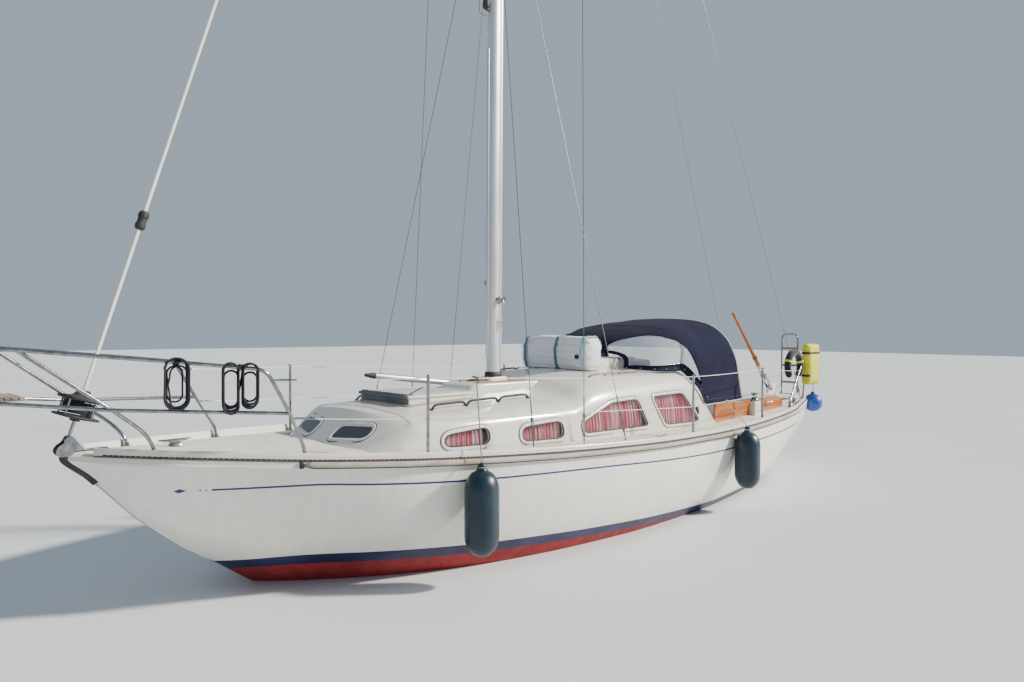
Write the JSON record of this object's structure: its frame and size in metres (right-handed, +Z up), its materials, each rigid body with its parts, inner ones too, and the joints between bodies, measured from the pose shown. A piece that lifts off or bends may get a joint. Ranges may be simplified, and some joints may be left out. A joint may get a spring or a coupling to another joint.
{
  "type": "sailing yacht",
  "caption": "Long-keeled cruising sloop with a cabin trunk, open cockpit, furled forestay, stern-hung rudder raised tiller, canopy, rails and fenders.",
  "frame": {"origin": "on the centreline amidships, at the height of the waterline", "axes": "+X forward to the bow, +Y to port, +Z up along the mast"},
  "size_m": [10.2623, 3.0827, 14.004],
  "materials": {
    "gelcoat": "white gelcoat, slightly aged",
    "deck_paint": "cream deck with nonskid",
    "antifouling": "dull red bottom paint",
    "stainless": "polished tube",
    "aluminium": "clear anodised",
    "bronze": "dull propeller bronze",
    "varnished_wood": "varnished mahogany",
    "weathered_wood": "bare greyed teak",
    "canvas": "navy acrylic canvas",
    "slate": "dark grey moulding",
    "black_plastic": "black plastic",
    "fender_vinyl": "teal navy vinyl",
    "yellow_fabric": "yellow coated fabric",
    "blue_vinyl": "blue buoy vinyl",
    "raft_fabric": "white coated fabric",
    "engine_paint": "green grey enamel",
    "rope": "dark braided rope",
    "window_glass": "tinted pane",
    "curtain": "red and white striped cotton"
  },
  "bodies": {
    "yacht": {"hull": "gelcoat", "keel": "antifouling", "engine": "engine_paint", "deck": "deck_paint", "cabin_trunk": "gelcoat", "washboards": "varnished_wood", "hatch_garage": "gelcoat", "fore_hatch_frame": "gelcoat", "mast_podium": "gelcoat", "mast": "aluminium", "cap_shroud_port": "stainless", "cap_shroud_starboard": "stainless", "fore_lower_shroud_port": "stainless", "fore_lower_shroud_starboard": "stainless", "aft_lower_shroud_port": "stainless", "aft_lower_shroud_starboard": "stainless", "backstay_port": "stainless", "backstay_starboard": "stainless", "stemhead_fitting": "stainless", "toe_rail_port": "gelcoat", "toe_rail_starboard": "gelcoat", "rub_strake_port": "weathered_wood", "rub_strake_starboard": "weathered_wood", "pulpit": "stainless", "pulpit_step": "slate", "pushpit_port": "stainless", "pushpit_starboard": "stainless", "guard_rail_port": "stainless", "guard_rail_starboard": "stainless", "cockpit_tub": "gelcoat", "foot_well": "gelcoat", "coaming_port": "varnished_wood", "coaming_starboard": "varnished_wood", "sprayhood": "canvas", "fender_fore": "fender_vinyl", "fender_aft": "fender_vinyl", "rolled_dinghy": "raft_fabric", "bow_cleat": "stainless", "stern_cleat_port": "stainless", "stern_cleat_starboard": "stainless", "spinnaker_pole": "aluminium", "horseshoe_buoy": "black_plastic", "rescue_bag": "yellow_fabric", "ball_fender": "blue_vinyl", "mooring_hank_fore": "rope", "mooring_hank_aft": "rope"},
    "rudder": {"rudder": "gelcoat"},
    "tiller": {"tiller": "varnished_wood"},
    "propeller": {"propeller": "bronze", "propeller_shaft": "stainless"},
    "fore_hatch": {"fore_hatch_lid": "slate"},
    "companion_hatch": {"companion_hatch": "gelcoat"},
    "locker_lid_port": {"locker_lid_port": "weathered_wood"},
    "locker_lid_starboard": {"locker_lid_starboard": "weathered_wood"},
    "furler": {"furler_drum": "black_plastic", "furler_foil": "aluminium"},
    "boarding_ladder": {"boarding_ladder": "stainless"}
  },
  "joints": [
    {"name": "rudder_turn", "type": "hinge", "parent": "yacht", "child": "rudder", "pos_m": [-4.714, 0, 0.9], "axis": [-0.4327, 0, 0.9015], "range_deg": [-35, 35]},
    {"name": "tiller_lift", "type": "hinge", "parent": "rudder", "child": "tiller", "pos_m": [-4.822, 0, 1.01], "axis": [0, -1, 0], "range_deg": [-33, 35]},
    {"name": "propeller_turn", "type": "hinge", "parent": "yacht", "child": "propeller", "pos_m": [-3.545, 0, -0.44922], "axis": [-0.9733, 0, -0.2297], "continuous": true},
    {"name": "fore_hatch_lift", "type": "hinge", "parent": "yacht", "child": "fore_hatch", "pos_m": [1.5, 0, 1.3183], "axis": [0, -1, 0], "range_deg": [0, 85]},
    {"name": "companion_hatch_slide", "type": "slide", "parent": "yacht", "child": "companion_hatch", "axis": [1, 0, 0], "range_m": [0, 0.55]},
    {"name": "locker_lid_port_lift", "type": "hinge", "parent": "yacht", "child": "locker_lid_port", "pos_m": [-2.4, 0.73, 0.7003], "axis": [-1, 0, 0], "range_deg": [0, 80]},
    {"name": "locker_lid_starboard_lift", "type": "hinge", "parent": "yacht", "child": "locker_lid_starboard", "pos_m": [-2.4, -0.73, 0.7003], "axis": [1, 0, 0], "range_deg": [0, 80]},
    {"name": "furler_turn", "type": "hinge", "parent": "yacht", "child": "furler", "pos_m": [4.592, 0, 1.262], "axis": [-0.2971, 0, 0.9549], "continuous": true},
    {"name": "boarding_ladder_fold", "type": "hinge", "parent": "yacht", "child": "boarding_ladder", "pos_m": [-4.742, 0.345, 0.956], "axis": [0, -1, 0], "range_deg": [0, 165]}
  ]
}
